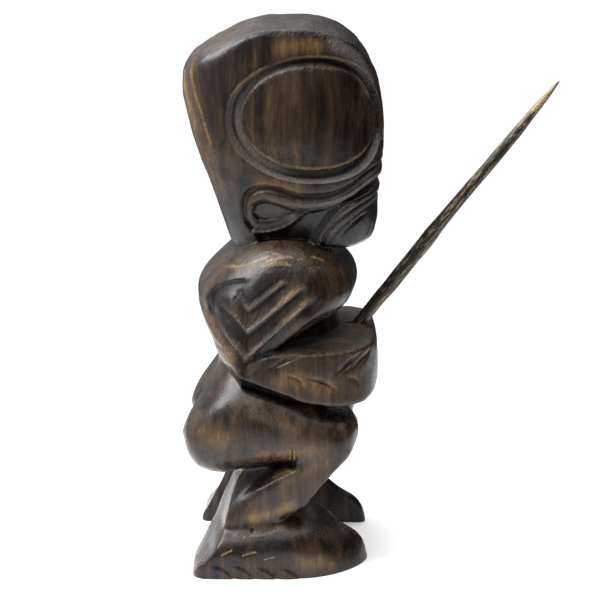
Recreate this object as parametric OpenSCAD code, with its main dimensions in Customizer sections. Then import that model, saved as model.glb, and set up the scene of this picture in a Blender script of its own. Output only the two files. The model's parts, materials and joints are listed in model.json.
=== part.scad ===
// Standing tiki figure, carved from one block of wood, with a loose wooden spear
// that is held in a hole in its joined hands.
// The figure looks along -Y, its right hand is on -X, and its soles stand on Z = 0.

/* [Figure] */
// Height from the soles to the crown
figure_h = 300; // [240:5:360]
// Width across the outsides of the feet
figure_w = 123; // [100:1:140]
// Depth from the forehead to the buttocks
figure_d = 111.5; // [95:0.5:130]
// Width of the gap between the feet
foot_gap_w = 50; // [40:1:60]
// Height of the gap between the calves
foot_gap_h = 47; // [40:1:52]
// Width of the cleft between the knees
knee_gap_w = 9; // [5:1:14]

/* [Carving] */
// Width of the groove round each eye
eye_groove_w = 6; // [4:0.5:10]
// Width of the groove round the mouth
mouth_groove_w = 5; // [3:0.5:7]
// Depth of the carved grooves
groove_d = 2.5; // [1:0.5:4]

/* [Spear] */
// Length of the spear from its butt to its point
spear_l = 198; // [150:1:240]
// Diameter of the spear's butt, which sits in the hole
butt_d = 7; // [5:0.1:8]
// Diameter of the spear where it is thickest
spear_d = 8.1; // [8:0.1:10]
// Angle between the spear and the ground
spear_tilt = 51.6; // [40:0.1:60]
// Depth of the hole along the spear
hole_depth = 24; // [15:1:26]
// Gap between the spear's butt and the wall of the hole
hole_clearance = 0.8; // [0.3:0.1:1]

/* [Quality] */
// Points round each carved cross-section
ring_points = 32; // [24:4:36]
// Rings between two neighbouring key sections
ring_steps = 2; // [1:1:2]

/* [Hidden] */

// Sizes that the key sections below are written for
std_h = 300;
std_w = 123;
std_d = 111.5;
std_back = 55;
z_scale = figure_h / std_h;
y_scale = figure_d / std_d;

// Centre of the hole's mouth on top of the hands
mouth_y = -43.5 * y_scale;
mouth_z = 129.5 * z_scale;
// Length of the spear that stands out of the hole
spear_reach = spear_l - hole_depth;
// The object's box runs from the spear's point to the buttocks, and is centred on Y = 0
point_y = mouth_y - spear_reach * cos(spear_tilt);
box_shift_y = -(point_y + std_back * y_scale) / 2;

wood_brown = "#3b2a1b";
spear_brown = "#2c2119";
hole_fn = 48;

// Key sections of the head and the trunk:
// [height, front, back, half width, squareness]
head_keys = [
    [175, -41, 26, 29, 2.6],
    [180, -50, 29, 33, 2.8],
    [190, -52.5, 32, 37, 3.0],
    [204, -53.5, 37, 42, 3.0],
    [220, -55.5, 42.5, 46, 3.0],
    [238, -56.5, 48, 49, 3.0],
    [255, -55.5, 52.5, 50, 3.0],
    [268, -52.5, 54, 49, 2.9],
    [279, -48, 49.5, 46.5, 2.7],
    [288, -42, 40, 42, 2.5],
    [295, -35, 28, 35, 2.3],
    [300, -24, 16, 24, 2.2],
];
trunk_keys = [
    [58, -8, 38, 24, 2.4],
    [76, -20, 44, 34, 2.4],
    [96, -28, 42, 38, 2.4],
    [114, -33, 36, 38, 2.4],
    [130, -36, 42, 43, 2.4],
    [146, -40, 46.5, 48, 2.4],
    [160, -42.5, 42.5, 46, 2.4],
    [170, -38, 34, 38, 2.4],
    [178, -34, 27, 29, 2.4],
];

// Key sections of the right upper arm: [height, front, back, half width, squareness]
arm_keys = [
    [104, 10, 21, 6, 2.2],
    [110, 0, 28, 12, 2.3],
    [120, -9, 35, 16, 2.4],
    [132, -20, 42, 18.5, 2.4],
    [145, -37, 46.5, 20, 2.4],
    [157, -42, 44, 19, 2.4],
    [167, -34, 36, 16, 2.4],
    [174, -14, 18, 10, 2.2],
];
arm_x = 38;

// Key sections of the forearms and hands: [front, bottom, top, half width, squareness]
hand_keys = [
    [-54.7, 99, 124, 19, 3.4],
    [-52, 95.5, 127.5, 27, 3.6],
    [-45, 93, 129.2, 37, 3.8],
    [-30, 93, 129.5, 47, 3.8],
    [-14, 94, 127.5, 53, 3.4],
    [0, 98, 126, 55, 3.0],
    [11, 103, 120, 54, 2.6],
    [20, 108, 114, 50, 2.2],
];

// Key sections of the right thigh: [front, bottom, top, half width, squareness]
thigh_keys = [
    [-42, 71, 81, 10, 2.2],
    [-38.5, 64, 87, 18, 2.3],
    [-30, 57, 92, 24, 2.4],
    [-15, 52, 99, 27, 2.5],
    [5, 50, 107, 28, 2.5],
    [25, 52, 110, 28, 2.4],
    [40, 57, 106, 25.5, 2.3],
    [50, 65, 97, 20, 2.2],
    [55, 76, 86, 10, 2.2],
];
thigh_x = 31;

// Key sections of both legs and feet before the gap is cut:
// [height, front, back, half width, squareness]
leg_keys = [
    [0, -46.5, 48.5, 61.5, 2.5],
    [6, -48.5, 46.5, 61, 2.5],
    [13, -47, 43, 60, 2.5],
    [21, -40, 39.5, 58.5, 2.5],
    [30, -29, 35, 56.5, 2.5],
    [38, -21, 31, 55, 2.5],
    [47, -20, 27, 54, 2.5],
    [56, -28, 28, 54, 2.5],
    [66, -33, 36, 53, 2.5],
];

// The right eye is an oval that wraps from the side of the head to its front
eye_x = -33;
eye_y = -10;
eye_z = 249.5;
eye_half_w = 39.5;
eye_half_h = 33;
eye_turn = 30;

// The mouth is a long oval that runs round the front of the head
mouth_y_mid = -40;
mouth_z_mid = 200;
mouth_half_l = 54;
mouth_half_h = 13;

// Value of a smooth curve through four neighbouring keys, at t between the middle two
function spline(a, b, c, d, t) =
    b + 0.5 * t * (c - a + t * (2 * a - 5 * b + 4 * c - d + t * (3 * (b - c) + d - a)));

// The key sections with smooth sections added between them
function smooth_keys(keys, steps) = [
    for (i = [0 : len(keys) - 2])
        for (s = [0 : steps - 1])
            spline(
                keys[max(i - 1, 0)],
                keys[i],
                keys[i + 1],
                keys[min(i + 2, len(keys) - 1)],
                s / steps
            ),
    keys[len(keys) - 1],
];

// Signed power, which squares up a circle into a rounded box
function squared(value, squareness) = sign(value) * pow(abs(value), 2 / squareness);

// One closed outline from low to high in its second direction: points [across, along]
function outline(half_across, low, high, squareness) = [
    for (i = [0 : ring_points - 1])
        let (a = 360 * (i + 0.5) / ring_points)
        [
            half_across * squared(cos(a), squareness),
            (low + high) / 2 + (high - low) / 2 * squared(sin(a), squareness),
        ]
];

// A closed solid through rings of points
module skin(rings) {
    count = len(rings[0]);
    last = len(rings) - 1;
    walls = [
        for (r = [0 : last - 1])
            for (i = [0 : count - 1])
                let (
                    here = r * count + i,
                    next = r * count + (i + 1) % count
                )
                each [
                    [here, here + count, next + count],
                    [here, next + count, next],
                ]
    ];
    start_cap = [for (i = [0 : count - 1]) i];
    end_cap = [for (i = [count - 1 : -1 : 0]) last * count + i];
    polyhedron(
        points = [for (ring = rings) each ring],
        faces = concat([start_cap], walls, [end_cap]),
        convexity = 6
    );
}

// A solid that grows upwards through level sections
module upright_solid(keys) {
    skin([
        for (k = smooth_keys(keys, ring_steps))
            [for (p = outline(k[3], k[1], k[2], k[4])) [p.x, p.y, k[0]]]
    ]);
}

// A solid that grows backwards through sections that stand across Y
module lengthwise_solid(keys) {
    skin([
        for (k = smooth_keys(keys, ring_steps))
            [for (p = outline(k[3], k[1], k[2], k[4])) [-p.x, k[0], p.y]]
    ]);
}

// The same shape on both sides of the middle plane
module both_sides() {
    children();
    mirror([1, 0, 0]) children();
}

// A flat oval ring across X
module oval_ring(half_d, half_h, ring_w, thickness) {
    rotate([90, 0, 90])
        linear_extrude(height = thickness, center = true)
            difference() {
                scale([half_d, half_h]) circle(r = 1, $fn = 40);
                scale([half_d - ring_w, half_h - ring_w]) circle(r = 1, $fn = 40);
            }
}

// The right eye's ring, turned towards the front
module eye_ring() {
    ring_reach = 60;
    translate([eye_x, eye_y, eye_z])
        rotate([0, 0, eye_turn])
            oval_ring(eye_half_w, eye_half_h, eye_groove_w, ring_reach);
}

// The mouth's ring, which passes right through the head from side to side
module mouth_ring() {
    translate([0, mouth_y_mid, mouth_z_mid])
        oval_ring(mouth_half_l, mouth_half_h, mouth_groove_w, std_w);
}

// Gap between the feet and calves, with the narrow cleft between the knees above it
module leg_gap() {
    gap_d = 2 * std_d;
    knee_gap_back = -26;
    knee_gap_h = 60;
    overlap = 1;
    translate([-foot_gap_w / 2, -gap_d / 2, -overlap])
        cube([foot_gap_w, gap_d, foot_gap_h + overlap]);
    translate([-knee_gap_w / 2, knee_gap_back - std_d, foot_gap_h - overlap])
        cube([knee_gap_w, std_d, knee_gap_h]);
}

// Key sections drawn in by a depth, as [height, front, back, half width, squareness]
function drawn_in(keys, depth) = [
    for (k = keys) [k[0], k[1] + depth, k[2] - depth, k[3] - depth, k[4]]
];

// Head with grooves of an even depth round the eyes and the mouth
module head() {
    difference() {
        upright_solid(head_keys);
        difference() {
            union() {
                both_sides() eye_ring();
                mouth_ring();
            }
            upright_solid(drawn_in(head_keys, groove_d));
        }
    }
}

// Trunk, both arms and the joined hands
module upper_body() {
    upright_solid(trunk_keys);
    both_sides()
        translate([-arm_x, 0, 0])
            upright_solid(arm_keys);
    lengthwise_solid(hand_keys);
}

// Hips, thighs, calves and feet
module lower_body() {
    difference() {
        union() {
            both_sides()
                translate([-thigh_x, 0, 0])
                    lengthwise_solid(thigh_keys);
            upright_solid(leg_keys);
        }
        leg_gap();
    }
}

// Moves its children from the hole's mouth frame, where +Z points out along the spear
module at_mouth() {
    translate([0, mouth_y, mouth_z])
        rotate([90 - spear_tilt, 0, 0])
            children();
}

// The whole figure, which is one block of wood
module carved_figure() {
    above_mouth = 20;
    color(wood_brown)
        translate([0, box_shift_y, 0])
            difference() {
                resize([figure_w, figure_d, figure_h])
                    union() {
                        head();
                        upper_body();
                        lower_body();
                    }
                at_mouth()
                    translate([0, 0, -hole_depth])
                        cylinder(
                            h = hole_depth + above_mouth,
                            d = butt_d + 2 * hole_clearance,
                            $fn = hole_fn
                        );
            }
}

// One straight length of the spear between two distances from the hole's mouth
module spear_length(from, to, from_d, to_d) {
    translate([0, 0, from])
        cylinder(h = to - from, d1 = from_d, d2 = to_d, $fn = hole_fn);
}

// The whittled spear, thickest in its lower half and pointed at its upper end
module spear() {
    butt_to = 0.06 * spear_reach;
    thick_from = 0.18 * spear_reach;
    thick_to = 0.36 * spear_reach;
    taper_from = 0.76 * spear_reach;
    taper_d = 0.76 * spear_d;
    point_d = 1;
    color(spear_brown)
        translate([0, box_shift_y, 0])
            at_mouth() {
                spear_length(-hole_depth, butt_to, butt_d, butt_d);
                spear_length(butt_to, thick_from, butt_d, spear_d);
                spear_length(thick_from, thick_to, spear_d, spear_d);
                spear_length(thick_to, taper_from, spear_d, taper_d);
                spear_length(taper_from, spear_reach, taper_d, point_d);
            }
}

carved_figure();
spear();
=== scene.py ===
"""A carved wooden tiki figure with a loose spear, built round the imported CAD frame.

The figure is sculpted as a signed distance field on a regular grid, in millimetres, in the
figure's own frame: x is 0 on its middle plane, y is negative towards its face, and z is 0 at
its soles. The field is turned into a mesh, carved, and moved to where the CAD figure stands.
"""

import json
import math

import bpy
import numpy as np
import openvdb
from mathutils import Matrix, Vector


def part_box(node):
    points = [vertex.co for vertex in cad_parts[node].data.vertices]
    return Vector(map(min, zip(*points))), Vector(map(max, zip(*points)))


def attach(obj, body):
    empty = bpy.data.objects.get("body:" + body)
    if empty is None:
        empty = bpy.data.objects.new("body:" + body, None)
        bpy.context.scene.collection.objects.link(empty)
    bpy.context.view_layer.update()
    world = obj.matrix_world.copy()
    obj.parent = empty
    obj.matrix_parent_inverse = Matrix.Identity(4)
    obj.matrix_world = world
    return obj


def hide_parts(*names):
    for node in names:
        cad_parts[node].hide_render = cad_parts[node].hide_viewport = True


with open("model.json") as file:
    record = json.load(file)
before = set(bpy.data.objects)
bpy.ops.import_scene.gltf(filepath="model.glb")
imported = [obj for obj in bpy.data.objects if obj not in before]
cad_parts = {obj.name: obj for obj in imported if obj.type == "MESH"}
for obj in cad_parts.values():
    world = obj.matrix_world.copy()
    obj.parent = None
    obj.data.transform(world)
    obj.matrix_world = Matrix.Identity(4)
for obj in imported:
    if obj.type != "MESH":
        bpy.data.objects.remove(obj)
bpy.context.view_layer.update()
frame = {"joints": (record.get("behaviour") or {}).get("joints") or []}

MM = 0.001
CAD_LOW, CAD_HIGH = (np.array(corner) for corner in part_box("carved_figure"))
# The buttocks are the rearmost point of the figure, 55 mm behind its upright axis.
BACK_Y = 55.0
AXIS_Y = CAD_HIGH[1] - BACK_Y * MM
JOINT = frame["joints"][0]
SPEAR_AXIS = np.array(JOINT["axis"], dtype=float)

# ---------------- curves and fields


def curve(knots, values, at):
    """A smooth curve through given values at their knots."""
    knots = np.asarray(knots, dtype=float)
    values = np.asarray(values, dtype=float)
    slopes = np.gradient(values, knots)
    i = np.clip(np.searchsorted(knots, at) - 1, 0, len(knots) - 2)
    span = knots[i + 1] - knots[i]
    t = np.clip((at - knots[i]) / span, 0.0, 1.0)
    return (
        values[i] * (1 + 2 * t) * (1 - t) ** 2
        + slopes[i] * span * t * (1 - t) ** 2
        + values[i + 1] * t * t * (3 - 2 * t)
        + slopes[i + 1] * span * t * t * (t - 1)
    )


def sections(rows, at):
    """Each column of the key rows as a smooth curve over the first column."""
    rows = np.asarray(rows, dtype=float)
    return [curve(rows[:, 0], column, at).astype(np.float32) for column in rows.T[1:]]


def curve_of(rows, at):
    """A smooth curve through rows of knot and value."""
    return curve(*np.array(rows, dtype=float).T, at)


def smooth_step(low, high, value):
    """A smooth rise from 0 at low to 1 at high, or a fall if high is below low."""
    t = np.clip((value - low) / (high - low), 0.0, 1.0)
    return t * t * (3 - 2 * t)


def taper(along, ends):
    """1 along a line, running out to 0 over a share of its length at each end."""
    if not ends:
        return np.ones_like(along)
    return smooth_step(0, ends, along) * smooth_step(1, 1 - ends, along)


def band(distance, at, width, power=2):
    """1 where a distance has a given value, falling off over a width on both sides."""
    return np.exp(-((distance - at) / width) ** power)


def at_least(layer, values, part=...):
    """Raises a part of a layer to some values wherever it is below them."""
    layer[part] = np.maximum(layer[part], values)


def join(a, b, blend):
    """The union of two fields, with a fillet of about the blend's size."""
    t = np.clip(0.5 + 0.5 * (b - a) / blend, 0.0, 1.0)
    return b * (1 - t) + a * t - blend * t * (1 - t)


def cut(a, b, blend):
    """The part of field a that is also in field b, with a rounded edge."""
    return -join(-a, -b, blend)


def rounded_box_field(a, b, half_a, half_b, squareness):
    """Distance from a rounded box outline, measured along the ray from its centre."""
    level = (
        np.abs(a / half_a) ** squareness + np.abs(b / half_b) ** squareness
    ) ** (1 / squareness)
    return np.hypot(a, b) * (1 - 1 / np.maximum(level, 0.02))


def polyline(points, per_span=8):
    """Points along a smooth line through a few given points."""
    points = np.asarray(points, dtype=float)
    if len(points) == 2:
        return points
    knots = np.arange(len(points))
    fine = np.linspace(0, len(points) - 1, (len(points) - 1) * per_span + 1)
    return np.stack([curve(knots, column, fine) for column in points.T], axis=1)


# ---------------- the sculpting grid

VOXEL = 0.7
FIGURE_TRIANGLES = 170_000
HALF_X = np.arange(-66.0, VOXEL / 2, VOXEL, dtype=np.float32)
HALF_X -= HALF_X[-1]
Y = np.arange(-62.0, 61.0, VOXEL, dtype=np.float32)
Z = np.arange(-4.0, 305.0, VOXEL, dtype=np.float32)
gx = HALF_X[:, None, None]
gy = Y[None, :, None]
gz = Z[None, None, :]
GRID_LOW = np.array([HALF_X[0], Y[0], Z[0]])


def upright(rows):
    """A form with level sections: rows of height, front, back, half width, squareness."""
    front, back, half_w, square = sections(rows, Z)
    return rounded_box_field(gx, gy - (front + back) / 2, half_w, (back - front) / 2, square)


def lengthwise(rows, x_centre):
    """A form with sections across Y: rows of depth, bottom, top, half width, squareness."""
    bottom, top, half_w, square = (column[:, None] for column in sections(rows, Y))
    return rounded_box_field(
        gx - x_centre, gz - (bottom + top) / 2, half_w, (top - bottom) / 2, square
    )


def outline_field(points, u, v):
    """Signed distance from a closed outline in a plane, negative inside."""
    points = np.asarray(points, dtype=np.float32)
    best = np.full(np.broadcast(u, v).shape, 1e9, dtype=np.float32)
    inside = np.zeros(best.shape, dtype=bool)
    for (u0, v0), (u1, v1) in zip(points, np.roll(points, -1, axis=0)):
        du, dv = u1 - u0, v1 - v0
        t = np.clip(((u - u0) * du + (v - v0) * dv) / (du * du + dv * dv + 1e-9), 0, 1)
        best = np.minimum(best, (u - u0 - t * du) ** 2 + (v - v0 - t * dv) ** 2)
        crosses = ((v0 > v) != (v1 > v)) & (u < du * (v - v0) / (dv + 1e-9 * (dv == 0)) + u0)
        inside ^= crosses
    return np.where(inside, -np.sqrt(best), np.sqrt(best))


# ---------------- carving sheets


class Sheet:
    """A flat drawing that is carved into a wall of the figure.

    cut is a depth in millimetres, gold is where the stain is rubbed through (in a few marks also a
    painted highlight), amber is where the paler grain shows in streaks (or, below 0, where it is
    darker: darker stain in some places and painted shade in others), rough is where the chisel marks
    were left unsanded, and pale is where a rough edge is rubbed grey, and also where highlights and
    reflections are painted.
    """

    # The size of one cell
    STEP = 0.4

    def __init__(self, low, high):
        self.low = np.array(low, dtype=float)
        self.u = np.arange(low[0], high[0], self.STEP)
        self.v = np.arange(low[1], high[1], self.STEP)
        layers = np.zeros((5, len(self.u), len(self.v)))
        self.cut, self.gold, self.amber, self.rough, self.pale = layers

    def near(self, points, reach):
        """The part of the sheet within reach of some points, as slices and coordinates."""
        points = np.asarray(points, dtype=float)
        first = np.floor((points.min(axis=0) - reach - self.low) / self.STEP).astype(int)
        last = np.ceil((points.max(axis=0) + reach - self.low) / self.STEP).astype(int)
        first = np.maximum(first, 0)
        part = (slice(first[0], max(last[0], 0)), slice(first[1], max(last[1], 0)))
        return part, self.u[part[0]][:, None], self.v[part[1]][None, :]

    def line(self, points, reach):
        """Distance from a line, the side it is on, and the way along it from 0 to 1."""
        points = polyline(points)
        part, u, v = self.near(points, reach)
        shape = np.broadcast(u, v).shape
        best = np.full(shape, 1e9)
        side = np.zeros(shape)
        along = np.zeros(shape)
        lengths = np.hypot(*np.diff(points, axis=0).T)
        starts = np.concatenate([[0], np.cumsum(lengths)])
        for i, length in enumerate(lengths):
            (u0, v0), (u1, v1) = points[i], points[i + 1]
            du, dv = u1 - u0, v1 - v0
            t = np.clip(((u - u0) * du + (v - v0) * dv) / (length * length + 1e-9), 0, 1)
            d = np.hypot(u - u0 - t * du, v - v0 - t * dv)
            closer = d < best
            best = np.where(closer, d, best)
            side = np.where(closer, np.sign(du * (v - v0) - dv * (u - u0)), side)
            along = np.where(closer, (starts[i] + t * length) / starts[-1], along)
        return part, best, side, along

    def groove(self, points, width, depth, ends=0.0, gold=0.0):
        """A rounded V along a line. ends is the share of the length that runs out to nothing."""
        part, d, _, along = self.line(points, width + 2.0)
        fade = taper(along, ends)
        shape = np.clip(1 - d / (width / 2 * (0.35 + 0.65 * fade)), 0, 1)
        at_least(self.cut, depth * fade * smooth_step(0, 1, shape ** 0.8), part)
        at_least(self.gold, gold * fade * band(d, width / 2, 0.9), part)

    def ledge(self, points, depth, run, ends=0.0, wall=0.6):
        """A drop on the line's left side that rises back to the surface over a run."""
        part, d, side, along = self.line(points, run + 2.0)
        signed = d * side
        shape = smooth_step(-wall, wall, signed) * np.clip(1 - signed / run, 0, 1)
        at_least(self.cut, depth * taper(along, ends) * shape, part)

    def hollow(self, points, depth, wall):
        """A sunk area inside a closed outline, with walls of a given run."""
        ring = polyline(list(points) + [points[0]])
        part, u, v = self.near(ring, 3.0)
        inside = smooth_step(-wall / 2, wall / 2, -outline_field(ring, u, v))
        at_least(self.cut, depth * inside, part)

    def dent(self, centre, half, depth):
        """A soft round hollow, added to what is there."""
        u, v = self.u[:, None] - centre[0], self.v[None, :] - centre[1]
        self.cut += depth * np.exp(-((u / half[0]) ** 2 + (v / half[1]) ** 2))

    def paint(self, layer, points, width, amount):
        """A soft brush mark along a line, in one of the colour layers."""
        part, d, _, along = self.line(points, width)
        at_least(layer, amount * taper(along, 0.15) * smooth_step(width, 0, d), part)

    def hatch(self, points, width, amount):
        """Chisel marks along a line, rubbed pale."""
        self.paint(self.rough, points, width, min(amount, 1.0))
        self.paint(self.pale, points, width, 0.8 * amount)

    def darken(self, points, width, amount):
        """A darker mark along a line, in the amber layer: darker stain in some places, painted shade
        in others.
        """
        part, d, _, _ = self.line(points, width)
        self.amber[part] -= amount * smooth_step(width, 0.3 * width, d)

    def marks(self, gold, amber, dark):
        """Lists of gold, amber and dark marks, in that order."""
        for mark in gold:
            self.paint(self.gold, *mark)
        for mark in amber:
            self.paint(self.amber, *mark)
        for mark in dark:
            self.darken(*mark)

    def sample(self, layer, u, v):
        """Values of a layer at points, straight between its cells."""
        fu = np.clip((u - self.u[0]) / self.STEP, 0, len(self.u) - 1.001)
        fv = np.clip((v - self.v[0]) / self.STEP, 0, len(self.v) - 1.001)
        iu, iv = fu.astype(int), fv.astype(int)
        fu, fv = fu - iu, fv - iv
        return (
            layer[iu, iv] * (1 - fu) * (1 - fv) + layer[iu + 1, iv] * fu * (1 - fv)
            + layer[iu, iv + 1] * (1 - fu) * fv + layer[iu + 1, iv + 1] * fu * fv
        )


# ---------------- the head

# Rows for upright(): height, front, back, half width and squareness
HEAD_ROWS = [
    [170, -34, 24, 28, 2.8],
    [180, -48.5, 27.8, 33, 3.0],
    [190, -52.7, 31, 37, 3.1],
    [204, -53.4, 35.6, 42, 3.1],
    [220, -55.4, 41.2, 46, 3.1],
    [238, -56.5, 47.2, 49, 3.1],
    [255, -56.2, 51.4, 50, 3.0],
    [268, -54, 54.3, 50, 3.0],
    [282, -52, 57, 49, 3.0],
    [305, -48, 60, 46, 3.0],
]
# Height of the crown along the middle plane, by depth
CROWN_ROWS = [
    [-62, 215], [-56, 248], [-53, 267], [-49, 277], [-43, 287], [-36, 293.6], [-24, 299.3],
    [-4, 301], [16, 299], [30, 292.8], [42, 286], [49, 280.4], [53, 274], [55, 266],
    [62, 234],
]
# The crown is this much lower at this far from the middle plane.
CROWN_DROP = 4.2
CROWN_DROP_AT = 46.0
HEAD_HALF_W = 50.0
HEAD_HALF_D = 54.5
HEAD_MID_Y = -1.75


def crown_height(x, y):
    """Height of the crown, which falls away to both sides."""
    return curve_of(CROWN_ROWS, y) - CROWN_DROP * (x / CROWN_DROP_AT) ** 2


def head_field():
    """The head as a block that widens upwards, under a rounded crown."""
    body = upright(HEAD_ROWS)
    profile = sections(CROWN_ROWS, Y)[0]
    lean = (1 / np.sqrt(1 + np.gradient(profile, Y) ** 2))[None, :, None]
    # The crown's edge is crisp in front and worn round at the back.
    worn = 1.4 + 8.0 * smooth_step(2, 38, gy)
    field = cut(body, (gz - crown_height(gx, Y[None, :, None])) * lean, worn)
    # The jaw's underside rises a little from the throat to the chin.
    under = 175.5 + 4.5 * smooth_step(-36, -52, gy) + 6 * (gx / 36) ** 2
    return cut(field, under - gz, 2.0)


def unwrap_table():
    """Angle round the head against the way along its wall from the middle of the face."""
    turn = np.linspace(0, math.pi, 721)
    power = 2 / 3.05
    x = HEAD_HALF_W * np.abs(np.sin(turn)) ** power
    y = -HEAD_HALF_D * np.sign(np.cos(turn)) * np.abs(np.cos(turn)) ** power
    way = np.concatenate([[0], np.cumsum(np.hypot(np.diff(x), np.diff(y)))])
    return np.arctan2(x, -y), way


UNWRAP_ANGLE, UNWRAP_WAY = unwrap_table()


def way_round_head(x, y, z):
    """How far round the head a point is: about |x| on the face, and y + 90 on the side."""
    half_w = curve(*np.array(HEAD_ROWS).T[[0, 3]], z)
    angle = np.arctan2(np.abs(x) * HEAD_HALF_W / half_w, -(y - HEAD_MID_Y))
    return np.interp(angle, UNWRAP_ANGLE, UNWRAP_WAY)


# Centre and half sizes of the eye on the unwrapped head: way round it and height
EYE = (71.0, 250.3)
EYE_OUTER = (46.8, 33.4)
EYEBALL = (39.2, 26.9)
EYEBALL_UP = 0.8
EYE_DEPTH = 4.2
EYEBALL_SINK = 1.2


def oval_distance(u, v, centre, half):
    """Signed distance from an oval, close to true near its edge."""
    du, dv = u - centre[0], v - centre[1]
    level = np.sqrt((du / half[0]) ** 2 + (dv / half[1]) ** 2)
    steep = np.sqrt((du / half[0] ** 2) ** 2 + (dv / half[1] ** 2) ** 2)
    return (level - 1) * level / np.maximum(steep, 1e-4)


def draw_eye(sheet):
    """An oval channel round a domed eyeball, and the marks left in it."""
    u, v = sheet.u[:, None], sheet.v[None, :]
    outer = oval_distance(u, v, EYE, EYE_OUTER)
    ball = oval_distance(u, v, (EYE[0], EYE[1] + EYEBALL_UP), EYEBALL)
    low, high = smooth_step(246, 232, v), smooth_step(262, 274, v)
    groove = smooth_step(0.2, -1.8 - 1.0 * low, outer) * smooth_step(-0.6, 1.8 + 1.6 * high, ball)
    at_least(sheet.cut, EYE_DEPTH * groove)
    # The eyeball lies a little below the face at its rim and is domed.
    dome = EYEBALL_SINK * smooth_step(-22, 0, ball) * (outer < 0)
    at_least(sheet.cut, np.where(ball < 2.0, dome, 0.0))
    channel = smooth_step(0.5, -1.0, outer) * smooth_step(-1.0, 0.8, ball)
    at_least(sheet.rough, 0.8 * channel)
    at_least(sheet.pale, 0.9 * channel * smooth_step(70, 95, u))
    # The walls that face upwards are painted pale as highlights.
    lower_wall = band(outer, -0.9, 1.1) * low
    left_rim = band(outer, -0.3, 0.9) * smooth_step(104, 112, u)
    at_least(sheet.pale, 1.5 * lower_wall + 0.9 * left_rim)
    # The upper wall gets a painted highlight at its two ends and painted shade in its middle.
    ends = np.maximum(smooth_step(52, 36, u), smooth_step(88, 104, u))
    upper_wall = band(ball, 0.6, 1.3) * high
    at_least(sheet.pale, 1.4 * upper_wall * ends)
    sheet.amber -= 2.0 * upper_wall * (1 - ends)
    stipple = band(outer, -1.9, 1.7, 4) * smooth_step(267, 274, v) * smooth_step(36, 50, u)
    at_least(sheet.gold, 0.95 * stipple)
    nicks = band(outer, -0.2, 1.0) * smooth_step(258, 268, v) * smooth_step(92, 102, u)
    at_least(sheet.gold, 0.6 * nicks)
    at_least(sheet.gold, 0.5 * band(ball, -0.8, 1.2) * low)
    pale_grain = smooth_step(70, 92, u) * smooth_step(0.0, -4.0, ball)
    at_least(sheet.amber, 0.4 * pale_grain)


def draw_mouth(sheet):
    """The wide mouth: an upper lip that curls back on itself, and creases round the lower."""
    upper = [(0, 224.5), (24, 223.5), (40, 220.5), (50, 215), (60, 210.5), (70, 209), (80, 209.5),
             (90, 213), (98, 214.2), (106, 211.5), (110.5, 205), (110.5, 197), (106, 190.5)]
    sheet.groove(upper, 5.0, 2.3)
    sheet.hatch(upper, 3.0, 0.5)
    band_edge = [(0, 217), (24, 217), (38, 215), (46, 211.5), (56, 206.5), (66, 203.8), (76, 203),
                 (86, 204.3), (93, 206.6), (99, 207.4), (104, 205)]
    loop = [(104, 204.5), (98, 206.3), (91, 205), (84, 202.5), (80, 200.8), (86, 198), (92, 196),
            (98, 195), (103, 196), (105.5, 200)]
    sheet.hollow(loop, 2.8, wall=1.8)
    under = [(104, 187.0), (98, 187.6), (91, 189.2), (85, 191.8), (79, 196.6), (74, 200.2),
             (66, 201.5), (58, 203.5), (62, 198), (67, 191), (72, 184), (76, 171), (92, 168)]
    sheet.hollow(under, 3.6, wall=2.6)
    jaw_edge = [(77, 199.5), (85, 194.2), (93, 191), (101, 189.6), (108, 191.5), (113, 195)]
    sheet.ledge(jaw_edge, 3.0, 8.0, ends=0.3)
    front_gap = [(-4, 216.5), (24, 216.3), (38, 214), (47, 210), (55, 206), (50, 206.5), (40, 209.5),
                 (24, 211.8), (-4, 212)]
    sheet.hollow(front_gap, 3.0, wall=1.6)
    sheet.ledge(band_edge[::-1], 1.4, 5.0)
    sheet.hatch([(u, v + 1.2) for u, v in band_edge], 2.4, 1.3)
    sheet.paint(sheet.gold, [(u, v + 0.5) for u, v in band_edge[3:8]], 1.0, 0.55)
    lip_lines = [
        [(0, 206.5), (24, 206), (40, 204), (50, 200), (58, 195), (64, 188), (68, 178)],
        [(48, 206.6), (56, 201.5), (63, 194), (68, 184)],
        [(36, 199.5), (46, 196), (54, 190), (60, 181)],
    ]
    sheet.groove(lip_lines[0], 3.8, 1.8)
    sheet.groove(lip_lines[1], 2.4, 1.0, ends=0.2)
    sheet.groove(lip_lines[2], 3.0, 0.9, ends=0.4)
    for line in lip_lines[:2]:
        sheet.hatch([(u - 1.6, v - 1.2) for u, v in line], 2.2, 1.0)
    sheet.paint(sheet.gold, [(40, 206), (50, 202.2), (57, 198)], 1.2, 0.6)
    lower_lip = [(108.5, 200), (107, 194), (101, 191.4), (93, 192.8), (86, 195.6), (79, 200.2)]
    sheet.hatch(lower_lip, 3.2, 1.5)
    # Painted shade in the curled lip's hollow and under the lower lip.
    sheet.darken([(102, 199.5), (94, 200), (86, 200.6)], 5.0, 1.6)
    sheet.darken([(109, 184), (96, 184.5), (84, 188), (74, 195)], 7.0, 2.0)


def draw_nose(sheet):
    """The bridge of the nose as a raised band that flares into two nostrils."""
    side = [(6, 287), (7, 272), (7.5, 256), (10, 244), (15.5, 238), (18.5, 233.5), (16, 229.5)]
    sheet.ledge(side, 2.6, 9.0, ends=0.16)
    sheet.groove([(16.5, 230), (11, 228.4), (4, 229.6), (0, 229.2)], 3.0, 1.8, ends=0.1)
    sheet.dent((8.5, 233.5), (2.0, 1.4), 1.6)


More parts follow.
